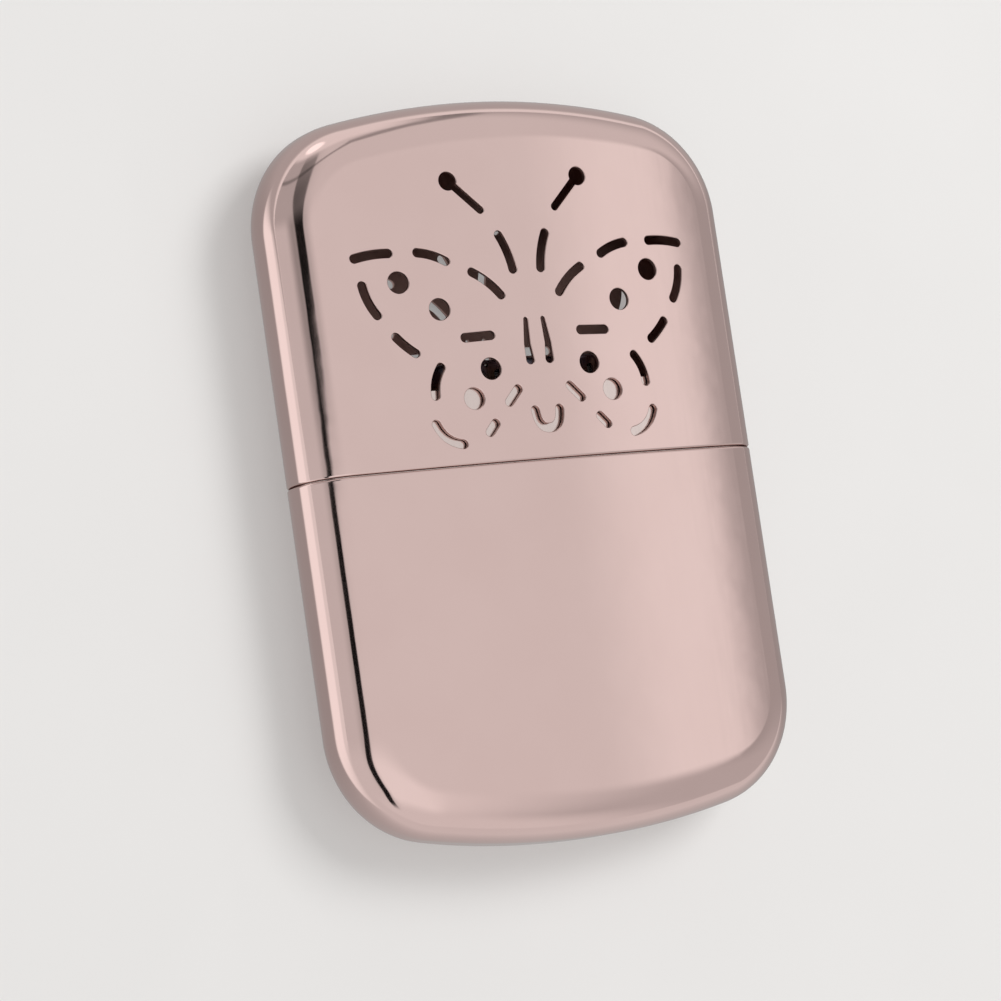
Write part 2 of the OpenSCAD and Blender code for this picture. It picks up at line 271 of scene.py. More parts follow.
def oblong_solid(points, ring=False):
    """A solid whose every level is oblong: (reach of the end centres, radius, height, fillet)."""
    stations = rounded(points)
    reach, radius, height = stations[0]
    bm = bmesh.new()
    turn = Matrix.Rotation(math.pi / 2, 4, "X") @ Matrix.Rotation(math.pi / OBLONG_SEGMENTS, 4, "Z")
    middle = Matrix.Translation((0, height, MIDDLE_Z))
    bmesh.ops.create_circle(bm, segments=OBLONG_SEGMENTS, radius=radius, matrix=middle @ turn)
    for vertex in bm.verts:
        vertex.co.x += math.copysign(reach, vertex.co.x)
    levels(bm, bm.edges[:], stations, oblong_move, ring)
    return bm


def bore(bm, centre, axis, diameter, length):
    """Adds a closed cylinder about a point."""
    turn = Z.rotation_difference(axis).to_matrix().to_4x4()
    bmesh.ops.create_cone(
        bm, cap_ends=True, segments=24, radius1=diameter / 2, radius2=diameter / 2, depth=length,
        matrix=Matrix.Translation(centre) @ turn,
    )


def turned(bm, profile, centre, axis, side):
    """A solid of revolution from points (radius, height), along an axis from a centre."""
    verts = [bm.verts.new(centre + side * radius + axis * height) for radius, height in profile]
    edges = [bm.edges.new(pair) for pair in zip(verts, verts[1:])]
    bmesh.ops.spin(
        bm, geom=verts + edges, cent=centre, axis=axis, angle=math.tau, steps=TURNED_STEPS, use_merge=True,
    )
    bmesh.ops.remove_doubles(bm, verts=bm.verts, dist=WELD)


def fluffed(obj, voxel, depth, grain):
    """Meshes a plain solid evenly and pulls its skin in by an uneven depth, as loose fibres lie."""
    even = obj.modifiers.new("even", "REMESH")
    even.mode = "VOXEL"
    even.voxel_size = voxel
    applied(obj)
    normals = [vertex.normal.copy() for vertex in obj.data.vertices]
    for vertex, normal in zip(obj.data.vertices, normals):
        share = 0.5 + 0.5 * noise.fractal(vertex.co * grain, 0.7, 2.0, 4)
        vertex.co -= normal * depth * min(max(share, 0), 1)
    obj.data.shade_smooth()
    return obj


# =====================================================================================
# The crowned form of the case
# =====================================================================================


def crown_drop(x):
    return FACE_RADIUS - math.sqrt(FACE_RADIUS**2 - x * x)


def crown_slope(x):
    return x / math.sqrt(FACE_RADIUS**2 - x * x)


def nearest_core(x, y):
    """The point of the core, an edge radius inside the case's outline, that is nearest in plan."""
    right, up = math.copysign(1, x), math.copysign(1, y)
    x, y = abs(x), abs(y)
    from_end = Vector((x, y - END_CENTRE_Y))
    from_corner = Vector((x - CORNER_X, y - CORNER_Y))
    if math.atan2(from_end.x, from_end.y) < CORNER_START:
        reach = min(from_end.length, END_RADIUS - EDGE_RADIUS)
        core = Vector((0, END_CENTRE_Y)) + from_end.normalized() * reach
    elif from_corner.x > 0 and from_corner.y > 0:
        reach = min(from_corner.length, CORNER_RADIUS - EDGE_RADIUS)
        core = Vector((CORNER_X, CORNER_Y)) + from_corner.normalized() * reach
    else:
        core = Vector((min(x, CORE_X), y))
    return Vector((core.x * right, core.y * up))


def crowned(point):
    """A flat-faced case's point brought to the crowned case, its normal, and its distance from the core."""
    core = nearest_core(point.x, point.y)
    level = min(max(point.z, EDGE_RADIUS), THICKNESS - EDGE_RADIUS)
    offset = point - Vector((core.x, core.y, level))
    share = (level - EDGE_RADIUS) / (THICKNESS - 2 * EDGE_RADIUS)
    drop = crown_drop(core.x)
    land_drop = crown_drop(LAND_WIDTH / 2)
    front = THICKNESS - EDGE_RADIUS - drop
    back = EDGE_RADIUS + max(0.0, drop - land_drop)
    normal = offset.normalized()
    slope = 0.0 if normal.z < 0 and drop < land_drop else crown_slope(core.x)
    normal = (normal + X * slope * abs(normal.z)).normalized()
    place = Vector((core.x, core.y, back + (front - back) * share)) + normal * offset.length
    return place, normal, offset.length


def crown_mesh(obj, outer, inner):
    """Bends a flat-faced mesh to the crowned case, whose true normals its two skins get."""
    mesh = obj.data
    skin = {}
    for vertex in mesh.vertices:
        place, normal, reach = crowned(vertex.co)
        for skin_reach, way in ((outer, 1), (inner, -1)):
            if abs(reach - skin_reach) < SKIN_TOLERANCE:
                skin[vertex.index] = normal * way
        vertex.co = place
    mesh.shade_smooth()
    mesh.set_sharp_from_angle(angle=math.radians(SHARP_ANGLE))
    mesh.update()
    normals = []
    for face in mesh.polygons:
        for i in face.vertices:
            true_normal = skin.get(i, Vector())
            normals.append(true_normal if true_normal.dot(face.normal) > NORMAL_MATCH else Vector())
    mesh.normals_split_custom_set(normals)


def mark_inside(obj):
    """Records on a flat-faced half case which faces lie deeper in its wall than the polish goes: the finish
    makes them rougher and paints them darker, as painted shade.
    """
    mesh = obj.data
    reach = [crowned(vertex.co)[2] for vertex in mesh.vertices]
    inside = mesh.attributes.new("inside", "FLOAT", "FACE")
    for i, face in enumerate(mesh.polygons):
        inside.data[i].value = max(reach[k] for k in face.vertices) < EDGE_RADIUS - POLISHED_DEPTH


def half_case(skin, lip_y, far_y=CASE_END):
    """The outside of a half case, flat-faced, open at the lip. skin is its distance from the core."""
    bm = bmesh.new()
    inset = EDGE_RADIUS - skin
    top = bm.verts.new((0, far_y - inset, 0))
    bmesh.ops.spin(
        bm, geom=[top], cent=(0, END_CENTRE_Y, 0), axis=-Z, angle=CORNER_START, steps=END_STEPS,
    )
    bm.verts.ensure_lookup_table()
    corner = max(bm.verts, key=lambda v: v.co.x)
    made = bmesh.ops.spin(
        bm, geom=[corner], cent=(CORNER_X, CORNER_Y, 0), axis=-Z,
        angle=math.pi / 2 - CORNER_START, steps=CORNER_STEPS,
    )
    side = bmesh.ops.extrude_vert_indiv(bm, verts=verts_of(made["geom_last"]))["verts"][0]
    side.co = (HALF_WIDTH - inset, lip_y, 0)
    bmesh.ops.mirror(bm, geom=bm.verts[:] + bm.edges[:], axis="X", merge_dist=WELD)
    bmesh.ops.remove_doubles(bm, verts=bm.verts, dist=WELD)
    ends = [v for v in bm.verts if abs(v.co.y - lip_y) < WELD]
    bmesh.ops.contextual_create(bm, geom=ends)
    bmesh.ops.contextual_create(bm, geom=bm.edges[:])
    bmesh.ops.translate(bm, vec=Z * inset, verts=bm.verts)
    solid_between(bm, bm.faces[:][0], Z * (THICKNESS - 2 * inset))
    rim = [
        e for e in bm.edges
        if abs(e.verts[0].co.z - e.verts[1].co.z) < WELD and max(v.co.y for v in e.verts) > lip_y + WELD
    ]
    bevel(bm, rim, skin, EDGE_SEGMENTS)
    mouth = [f for f in bm.faces if abs(f.calc_center_median().y - lip_y) < WELD]
    bmesh.ops.delete(bm, geom=mouth, context="FACES")
    return bm


def mesh_into(bm, other, flipped=False):
    """Adds another bmesh's geometry to this one."""
    mesh = bpy.data.meshes.new("part")
    other.to_mesh(mesh)
    other.free()
    before = set(bm.faces)
    bm.from_mesh(mesh)
    bpy.data.meshes.remove(mesh)
    if flipped:
        bmesh.ops.reverse_faces(bm, faces=[f for f in bm.faces if f not in before])


def split_crown_strips(bm):
    """Divides the two big flat faces along X, so that they can be bent to the crown."""
    geometry = [f for f in bm.faces if len(f.verts) > 4 * CORNER_STEPS // 2]
    geometry += list({v for f in geometry for v in f.verts}) + list({e for f in geometry for e in f.edges})
    for i in range(-int(CORE_X / CROWN_STEP), int(CORE_X / CROWN_STEP) + 1):
        geometry = bmesh.ops.bisect_plane(
            bm, geom=geometry, dist=WELD, plane_co=X * CROWN_STEP * i, plane_no=X,
        )["geom"]


def case_shell_flat(lip_y, lip_radius, inner_lip_radius):
    """A half case with its wall, flat-faced, with a rounded lip."""
    bm = half_case(EDGE_RADIUS, lip_y)
    split_crown_strips(bm)
    inner = half_case(EDGE_RADIUS - SHELL_WALL, lip_y)
    split_crown_strips(inner)
    mesh_into(bm, inner, flipped=True)
    rim = [e for e in bm.edges if e.is_boundary]
    ring = bmesh.ops.bridge_loops(bm, edges=rim)["faces"]
    lip_edges = {e for f in ring for e in f.edges if all(abs(v.co.y - lip_y) < WELD for v in e.verts)}
    lip_edges = [e for e in lip_edges if any(f not in ring for f in e.link_faces)]
    outside, inside = [], []
    for edge in lip_edges:
        reach = crowned((edge.verts[0].co + edge.verts[1].co) / 2)[2]
        side = outside if reach > EDGE_RADIUS - SHELL_WALL / 2 else inside
        side.append(edge)
    bevel(bm, inside, inner_lip_radius, 2)
    bevel(bm, [e for e in outside if e.is_valid], lip_radius, 4)
    return bm


# =====================================================================================
# Cutters for the vents
# =====================================================================================

# A slot's end is bevelled by just under half its width, and the two points that are left are then welded.
CAP_SHARE = 0.998
CAP_WELD = 0.01
CUTTER_HEIGHT = 1.0
CUTTER_LIFT = 0.002


def across(path, i, width):
    """Half a slot's width, square to its path."""
    along = (path[min(i + 1, len(path) - 1)] - path[max(i - 1, 0)]).normalized()
    return Vector((-along.y, along.x, 0)) * width / 2


def slot_face(bm, path, start_width, end_width):
    """One flat face: a slot along a path, with round ends centred on the path's ends."""
    earlier = set(bm.faces)
    count = len(path) - 1
    first = path[0] - (path[1] - path[0]).normalized() * start_width / 2
    last = path[-1] + (path[-1] - path[-2]).normalized() * end_width / 2
    path = [first, *path[1:-1], last]
    side = across(path, 0, start_width)
    edge = bm.edges.new((bm.verts.new(path[0] + side), bm.verts.new(path[0] - side)))
    start = [*edge.verts]
    strip = []
    for i in range(1, count + 1):
        side = across(path, i, start_width + (end_width - start_width) * i / count)
        left, right = edge.verts
        if (left.co - right.co).dot(side) < 0:
            left, right = right, left
        made = bmesh.ops.extrude_edge_only(bm, edges=[edge])["geom"]
        edge = edges_of(made)[0]
        strip += faces_of(made)
        new_left, new_right = sorted(edge.verts, key=lambda v: (v.co - left.co).length)
        new_left.co, new_right.co = path[i] + side, path[i] - side
    if len(strip) > 1:
        bmesh.ops.dissolve_faces(bm, faces=strip)
    bevel(bm, start, start_width / 2 * CAP_SHARE, SLOT_CAP_SEGMENTS, "VERTICES")
    bevel(bm, [*edge.verts], end_width / 2 * CAP_SHARE, SLOT_CAP_SEGMENTS, "VERTICES")
    made = {v for f in bm.faces if f not in earlier for v in f.verts}
    bmesh.ops.remove_doubles(bm, verts=list(made), dist=CAP_WELD)
    return next(f for f in bm.faces if f not in earlier)


def round_face(bm, centre, diameter):
    """One flat round face."""
    earlier = set(bm.faces)
    bmesh.ops.create_circle(
        bm, cap_ends=True, segments=HOLE_SEGMENTS, radius=diameter / 2, matrix=Matrix.Translation(centre),
    )
    return next(f for f in bm.faces if f not in earlier)


def sink(bm, face, top):
    """Draws a flat face down from above a skin at height top to the middle, with the vent's rolled edge."""
    bmesh.ops.translate(bm, vec=Z * (top + CUTTER_HEIGHT), verts=face.verts)
    face.normal_update()
    if face.normal.z < 0:
        bmesh.ops.reverse_faces(bm, faces=[face])
    floor_face = extrude_face(bm, face, -Z * (CUTTER_HEIGHT - CUTTER_LIFT), keep=True)
    floor_face.normal_update()
    way = math.copysign(1, floor_face.normal.z)
    for i in range(ROLL_STEPS):
        before, after = (math.pi / 2 * k / ROLL_STEPS for k in (i, i + 1))
        bmesh.ops.inset_individual(
            bm, faces=[floor_face], use_even_offset=True,
            thickness=ROLLED_EDGE * (math.sin(after) - math.sin(before)),
            depth=way * ROLLED_EDGE * (math.cos(after) - math.cos(before)),
        )
    last = extrude_face(bm, floor_face, Z * (MIDDLE_Z - floor_face.verts[0].co.z))
    bmesh.ops.delete(bm, geom=[last], context="FACES_ONLY")


def curved_path(start, end, rise):
    """Points from start to end, with a rise to the left of the way in the middle."""
    start, end = Vector((*start, 0)), Vector((*end, 0))
    along = (end - start).normalized()
    left = Vector((-along.y, along.x, 0))
    count = 6 if rise else 1
    shares = [i / count for i in range(count + 1)]
    return [start.lerp(end, share) + left * 4 * rise * share * (1 - share) for share in shares]


def softened(path):
    """A path with its inner corners cut off twice over."""
    for _ in range(2):
        cut = [place for a, b in zip(path, path[1:]) for place in (a.lerp(b, 0.25), a.lerp(b, 0.75))]
        path = [path[0], *cut[1:-1], path[-1]]
    return path


def mirrored(bm, axis, at=Vector()):
    bmesh.ops.mirror(
        bm, geom=bm.verts[:] + bm.edges[:] + bm.faces[:], axis=axis, merge_dist=WELD,
        matrix=Matrix.Translation(-at),
    )
    bmesh.ops.remove_doubles(bm, verts=bm.verts, dist=WELD)


def butterfly_cutters():
    """Two cutters for the vents, front and back: slots and eyes, and the round tips of the feelers."""
    roll = 2 * ROLLED_EDGE
    slots, tips = bmesh.new(), bmesh.new()
    for start, end, rise in WING_SLOTS:
        face = slot_face(slots, curved_path(start, end, rise), SLOT_WIDTH + roll, SLOT_WIDTH + roll)
        sink(slots, face, THICKNESS)
    for eye in WING_EYES:
        sink(slots, round_face(slots, Vector((*eye, 0)), EYE_DIAMETER + roll), THICKNESS)
    feeler = curved_path(*FEELER_SLOT, 0)
    sink(slots, slot_face(slots, feeler, FEELER_WIDTH + roll, FEELER_WIDTH + roll), THICKNESS)
    body = [Vector((*point, 0)) for point in BODY_SLOT]
    sink(slots, slot_face(slots, body, BODY_SLOT_HEAD + roll, BODY_SLOT_TAIL + roll), THICKNESS)
    mirrored(slots, "X")
    tail = softened([Vector((*point, 0)) for point in TAIL_SLOT])
    sink(slots, slot_face(slots, tail, SLOT_WIDTH + roll, SLOT_WIDTH + roll), THICKNESS)
    sink(tips, round_face(tips, feeler[-1], FEELER_TIP + roll), THICKNESS)
    mirrored(tips, "X")
    for bm in (slots, tips):
        mirrored(bm, "Z", Z * MIDDLE_Z)
        outward(bm)
    return object_of(slots, "slot_cutter"), object_of(tips, "tip_cutter")


# =====================================================================================
# Finishing a piece
# =====================================================================================


def smooth(obj, angle=SHARP_ANGLE):
    """Smooth shading with sharp edges where the surface turns by more than the angle."""
    obj.data.shade_smooth()
    obj.data.set_sharp_from_angle(angle=math.radians(angle))
    return obj


def place(obj, body, material, slot, *nodes, soft=None):
    """Brings a finished mesh to metres, dresses it, ties it to its body and hides the nodes of the CAD model
    that it stands for.
    """
    obj.data.transform(Matrix.Scale(MM, 4))
    obj.data.materials.clear()
    obj.data.materials.append(material)
    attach(obj, body)
    if nodes:
        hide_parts(*nodes)
    return obj


# =====================================================================================
# The case
# =====================================================================================

LIP_RADIUS = 0.28
INNER_LIP_RADIUS = 0.08
PARTING_GAP = 0.15
POLISHED_DEPTH = 0.14


def cap():
    obj = object_of(case_shell_flat(LIP_Y, LIP_RADIUS, INNER_LIP_RADIUS), "pierced_cap")
    for cutter in butterfly_cutters():
        subtract(obj, cutter)
    mark_inside(obj)
    crown_mesh(obj, EDGE_RADIUS, EDGE_RADIUS - SHELL_WALL)
    return place(obj, "cap", case_metal(), "case_metal", "cap_shell")


def tank():
    bm = case_shell_flat(PARTING_GAP - LIP_Y, LIP_RADIUS, INNER_LIP_RADIUS)
    bmesh.ops.scale(bm, vec=(1, -1, 1), verts=bm.verts)
    bmesh.ops.reverse_faces(bm, faces=bm.faces)
    obj = object_of(bm, "fuel_tank")
    mark_inside(obj)
    crown_mesh(obj, EDGE_RADIUS, EDGE_RADIUS - SHELL_WALL)
    return place(obj, "tank", case_metal(), "case_metal", "tank_shell")


# =====================================================================================
# The tank's inside: collar, closing plate, neck, wick, gauze and cotton
# =====================================================================================

COLLAR_SKIN = 5.3
COLLAR_WALL = 0.5
COLLAR_LIP = 0.2
PLATE_SKIN = 4.75
SOLDER = 0.45
NECK_OPENING_GAP = 0.05
NECK_RADIUS = 3.8
NECK_WALL = 0.4
GAUZE_WIRE = 0.2
GAUZE_PITCH = 0.75
COTTON_SKIN = 5.2
PAD_EDGE = 0.5


def case_move(place, before, here):
    """From one distance from the core (x of the station) and height (z) to another."""
    level = min(max(place.z, EDGE_RADIUS), THICKNESS - EDGE_RADIUS)
    core = Vector((min(max(place.x, -CORE_X), CORE_X), 0, level))
    offset = Vector((place.x, 0, place.z)) - core
    return core + offset * here.x / before.x + Y * here.z


def case_solid(points, ring=False):
    """A solid of the case's flat-faced section, by level: (distance from the core, 0, height, fillet)."""
    stations = rounded(points)
    skin, _, height = stations[0]
    side, low = CORE_X + skin, EDGE_RADIUS - skin
    corners = [(-side, low), (side, low), (side, THICKNESS - low), (-side, THICKNESS - low)]
    bm = bmesh.new()
    bm.faces.new([bm.verts.new((x, height, z)) for x, z in corners])
    bevel(bm, bm.verts[:], skin, EDGE_SEGMENTS, "VERTICES")
    bmesh.ops.delete(bm, geom=bm.faces[:], context="FACES_ONLY")
    wide = [e for e in bm.edges if e.calc_length() > CORE_X]
    bmesh.ops.subdivide_edges(bm, edges=wide, cuts=int(2 * CORE_X / CROWN_STEP))
    levels(bm, bm.edges[:], stations, case_move, ring)
    return bm


def collar():
    low, high = box_mm("tank_collar")
    inside = COLLAR_SKIN - COLLAR_WALL
    obj = object_of(case_solid([
        (COLLAR_SKIN, 0, low.y, COLLAR_LIP), (COLLAR_SKIN, 0, high.y, COLLAR_LIP),
        (inside, 0, high.y, COLLAR_LIP), (inside, 0, low.y, COLLAR_LIP),
    ], ring=True), "inner_collar")
    crown_mesh(obj, COLLAR_SKIN, inside)
    place(obj, "tank", collar_metal(), "collar_metal", "tank_collar")


def closing_plate():
    low, high = box_mm("closing_plate")
    obj = object_of(case_solid([
        (PLATE_SKIN - 1, 0, low.y, 0), (PLATE_SKIN, 0, low.y, 0.1), (PLATE_SKIN, 0, high.y + SOLDER, 0.05),
        (PLATE_SKIN - SOLDER, 0, high.y, SOLDER / 2), (PLATE_SKIN - 1, 0, high.y, 0),
    ]), "tank_closing_plate")
    reach, _, _, _ = oblong_of("wick_plug")
    opening = NECK_RADIUS + NECK_OPENING_GAP
    hole = oblong_solid([(reach, opening, low.y - 1, 0), (reach, opening, high.y + 1, 0)])
    subtract(obj, object_of(hole, "hole"))
    crown_mesh(obj, PLATE_SKIN, -1)
    place(obj, "tank", collar_metal(), "collar_metal", "closing_plate")


def neck():
    reach, flange, low, high = oblong_of("filler_neck")
    bore_radius = NECK_RADIUS - NECK_WALL
    flange_low, flange_high = 1.55, 1.95
    section = [
        (reach, bore_radius, low, 0.1), (reach, bore_radius, high, 0.19),
        (reach, NECK_RADIUS, high, 0.19), (reach, NECK_RADIUS, flange_high, 0.2),
        (reach, flange, flange_high, 0.15), (reach, flange, flange_low, 0.15),
        (reach, NECK_RADIUS, flange_low, 0.1), (reach, NECK_RADIUS, low, 0.1),
    ]
    obj = smooth(object_of(oblong_solid(section, ring=True), "oblong_neck"))
    place(obj, "tank", collar_metal(), "collar_metal", "filler_neck")


def oblong_pad(node, name, voxel, depth, grain):
    """An oblong block with soft edges and an uneven skin."""
    reach, radius, low, high = oblong_of(node)
    bm = oblong_solid([
        (reach, radius - 1, low, 0), (reach, radius, low, PAD_EDGE),
        (reach, radius, high, PAD_EDGE), (reach, radius - 1, high, 0),
    ])
    return fluffed(object_of(bm, name), voxel, depth, grain)


def wick():
    obj = oblong_pad("wick_plug", "felt_wick", voxel=0.4, depth=0.25, grain=0.9)
    place(obj, "tank", wick_felt(), "wick_felt", "wick_plug", soft=0.9)


def wavy_wire(bm, middle, along, half, pitch, wave, phase, diameter):
    """Adds a wire that passes over and under its neighbours, which stand a pitch apart."""
    count = int(half / pitch * 2)
    steps = [-half, *(k * pitch / 2 for k in range(-count, count + 1)), half]
    stops = [middle + along * step + Y * wave * math.cos(math.pi * (step / pitch + phase)) for step in steps]
    own = bmesh.new()
    turn = Z.rotation_difference(along).to_matrix().to_4x4()
    start = Matrix.Translation(stops[0]) @ turn
    bmesh.ops.create_circle(own, cap_ends=True, segments=6, radius=diameter / 2, matrix=start)
    tip = own.faces[:][0]
    for i, (here, there) in enumerate(zip(stops, stops[1:])):
        tip = extrude_face(own, tip, there - here, keep=i == 0)
    outward(own)
    mesh_into(bm, own)


def woven(name, node, diameter, pitch):
    """A woven mesh in an oblong rim of wire."""
    reach, radius, low, high = oblong_of(node)
    level = (low + high) / 2
    rim = (high - low) / 2
    inner = radius - rim
    turns = [math.tau * k / 8 for k in range(8)]
    bm = oblong_solid(
        [(reach, inner + rim * math.cos(turn), level + rim * math.sin(turn), 0) for turn in turns], ring=True
    )
    columns = int((reach + inner) / pitch)
    for i in range(-columns, columns + 1):
        x = i * pitch
        half = math.sqrt(inner**2 - max(0.0, abs(x) - reach) ** 2)
        wavy_wire(bm, Vector((x, level, MIDDLE_Z)), Z, half, pitch, -diameter / 2, i, diameter)
    rows = int(inner / pitch)
    for j in range(-rows, rows + 1):
        z = j * pitch
        half = reach + math.sqrt(inner**2 - z * z)
        wavy_wire(bm, Vector((0, level, MIDDLE_Z + z)), X, half, pitch, diameter / 2, j, diameter)
    return smooth(object_of(bm, name), 60)


def gauze():
    obj = woven("woven_gauze", "wick_gauze", GAUZE_WIRE, GAUZE_PITCH)
    place(obj, "tank", wire_metal(), "wire_metal", "wick_gauze")


def cotton(node, name):
    """One batt of cotton wool: a layer of the form that fills the tank."""
    low, high = box_mm(node)
    bm = half_case(COTTON_SKIN, -high.y, -low.y + EDGE_RADIUS - COTTON_SKIN)
    bmesh.ops.holes_fill(bm, edges=[e for e in bm.edges if e.is_boundary])
    split_crown_strips(bm)
    bmesh.ops.scale(bm, vec=(1, -1, 1), verts=bm.verts)
    for vertex in bm.verts:
        vertex.co = crowned(vertex.co)[0]
    for level, way in ((low.z, -Z), (high.z, Z)):
        bmesh.ops.bisect_plane(
            bm, geom=bm.verts[:] + bm.edges[:] + bm.faces[:], dist=WELD,
            plane_co=Z * level, plane_no=way, clear_outer=True,
        )
        bmesh.ops.holes_fill(bm, edges=[e for e in bm.edges if e.is_boundary])
    outward(bm)
    obj = fluffed(object_of(bm, name), voxel=0.7, depth=0.6, grain=0.35)
    place(obj, "tank", cotton_wool(), "cotton", node, soft=0.6)


# =====================================================================================
# The burner
# =====================================================================================

BURNER_WALL = 0.4
SKIRT_FLARE = 0.18
FINGER_SLITS = (-5.55, 0, 5.55)
FINGER_SLIT_WIDTH = 0.6
FINGER_SLIT_TOP = 6.3
GRID_SEAT = 0.05
HOOD_SHOULDER = 0.8
HOOD_SLOTS = 9
HOOD_SLOT_PITCH = 2.25
HOOD_SLOT_WIDTH = 1.0
HOOD_SLOT_LOW = 9.55
HOOD_SLOT_HIGH = 12.05
ROOF_SLOT_LENGTH = 4.5
RIVET_X = 14.0
RIVET_SHANK = 1.2
RIVET_HEAD_RISE = 0.35
RIVET_PLAY = 0.1
RIVET_BORE_Y = 9.0
RIVET_BORE_LENGTH = 4.0
CROSS_WIRE_X = 6.0
CROSS_WIRE_Y = 12.65
CROSS_WIRE_HOLE = 0.6
GRID_WIRE = 0.15
GRID_PITCH = 1.1


def rivet_bores():
    bm = bmesh.new()
    for x in (-RIVET_X, RIVET_X):
        bore(bm, Vector((x, RIVET_BORE_Y, MIDDLE_Z)), Y, RIVET_SHANK + RIVET_PLAY, RIVET_BORE_LENGTH)
    return bm


def skirt():
    reach, outer, low, high = oblong_of("burner_skirt")
    inner = outer - BURNER_WALL
    root = low + 0.9
    obj = object_of(oblong_solid([
        (reach, inner, high, 0), (reach, inner, root, 0.6), (reach, inner + SKIRT_FLARE, low, 0.12),
        (reach, outer + SKIRT_FLARE, low, 0.12), (reach, outer, root, 0.6), (reach, outer, high, 0),
    ], ring=True), "spring_skirt")
    slits = bmesh.new()
    end = FINGER_SLIT_TOP - FINGER_SLIT_WIDTH / 2
    for x in FINGER_SLITS:
        ends = [Vector((x, low - 1, -1)), Vector((x, end, -1))]
        face = slot_face(slits, ends, FINGER_SLIT_WIDTH, FINGER_SLIT_WIDTH)
        extrude_face(slits, face, Z * (THICKNESS + 2), keep=True)
    outward(slits)
    subtract(obj, object_of(slits, "slits"))
    place(smooth(obj), "burner", burner_metal(), "burner_metal", "burner_skirt")


def base_plate():
    reach, outer, low, high = oblong_of("burner_base_plate")
    mouth_reach, mouth, _, _ = oblong_of("wick_plug")
    obj = object_of(oblong_solid([
        (mouth_reach, mouth, low, 0.1), (mouth_reach, mouth, high, 0.1),
        (reach, outer, high, 0.12), (reach, outer, low, 0.12),
    ], ring=True), "oblong_base_plate")
    subtract(obj, object_of(rivet_bores(), "bores"))
    place(smooth(obj), "burner", burner_metal(), "burner_metal", "burner_base_plate")


def hood():
    reach, outer, low, high = oblong_of("burner_hood")
    cup_reach, grid_radius, _, _ = oblong_of("support_grid")
    inner = grid_radius + GRID_SEAT
    cup = inner + BURNER_WALL
    obj = object_of(oblong_solid([
        (cup_reach, inner - 1.5, high - BURNER_WALL, 0), (cup_reach, inner, high - BURNER_WALL, 0.4),
        (cup_reach, inner, low, 0.1), (reach, outer, low, 0.12), (reach, outer, low + BURNER_WALL, 0.15),
        (cup_reach, cup, low + BURNER_WALL, 0.35), (cup_reach, cup, high, HOOD_SHOULDER),
        (cup_reach, inner - 1.5, high, 0),
    ]), "slotted_hood")
    cutters = rivet_bores()
    middle = (HOOD_SLOT_LOW + HOOD_SLOT_HIGH) / 2
    straight = (HOOD_SLOT_HIGH - HOOD_SLOT_LOW - HOOD_SLOT_WIDTH) / 2
    roof = bmesh.new()
    for i in range(HOOD_SLOTS):
        x = (i - (HOOD_SLOTS - 1) / 2) * HOOD_SLOT_PITCH
        ends = [Vector((x, middle - straight, -1)), Vector((x, middle + straight, -1))]
        side_slot = slot_face(cutters, ends, HOOD_SLOT_WIDTH, HOOD_SLOT_WIDTH)
        extrude_face(cutters, side_slot, Z * (THICKNESS + 2), keep=True)
        half = (ROOF_SLOT_LENGTH - HOOD_SLOT_WIDTH) / 2
        ends = [Vector((x, -half, 0)), Vector((x, half, 0))]
        roof_slot = slot_face(roof, ends, HOOD_SLOT_WIDTH, HOOD_SLOT_WIDTH)
        extrude_face(roof, roof_slot, Z * 2, keep=True)
    turn = Matrix.Translation((0, high + 1, MIDDLE_Z)) @ Matrix.Rotation(math.pi / 2, 4, "X")
    bmesh.ops.transform(roof, matrix=turn, verts=roof.verts)
    mesh_into(cutters, roof)
    outward(cutters)
    subtract(obj, object_of(cutters, "slots"))
    holes = bmesh.new()
    for x in (-CROSS_WIRE_X, CROSS_WIRE_X):
        bore(holes, Vector((x, CROSS_WIRE_Y, MIDDLE_Z)), Z, CROSS_WIRE_HOLE, THICKNESS)
    subtract(obj, object_of(holes, "holes"))
    place(smooth(obj), "burner", burner_metal(), "burner_metal", "burner_hood")


def quarter_turn(steps):
    """Evenly spaced angles from 0 to a right angle."""
    return [math.pi / 2 * k / steps for k in range(steps + 1)]


def rivets():
    low, high = box_mm("burner_rivets")
    head = (high.z - low.z) / 2
    shank = RIVET_SHANK / 2
    rise = RIVET_HEAD_RISE - 0.08
    dome = [(head * math.cos(turn), rise * (1 - math.sin(turn))) for turn in quarter_turn(6)]
    top = [(r, high.y - h) for r, h in dome]
    bottom = [(r, low.y + h) for r, h in dome]
    profile = [
        *reversed(top), (head, high.y - RIVET_HEAD_RISE), (shank, high.y - RIVET_HEAD_RISE),
        (shank, low.y + RIVET_HEAD_RISE), (head, low.y + RIVET_HEAD_RISE), *bottom,
    ]
    bm = bmesh.new()
    for x in (-RIVET_X, RIVET_X):
        turned(bm, profile, Vector((x, 0, MIDDLE_Z)), Y, X)
    outward(bm)
    obj = smooth(object_of(bm, "brass_rivets"))
    place(obj, "burner", rivet_brass(), "rivet_brass", "burner_rivets")


def grids():
    for name, node in (("lower_woven_grid", "support_grid"), ("upper_woven_grid", "retaining_grid")):
        place(woven(name, node, GRID_WIRE, GRID_PITCH), "burner", wire_metal(), "wire_metal", node)


def mat():
    obj = oblong_pad("catalyst_mat", "glass_fibre_mat", voxel=0.25, depth=0.3, grain=1.3)
    place(obj, "burner", catalyst_fibre(), "catalyst_fibre", "catalyst_mat", soft=0.7)


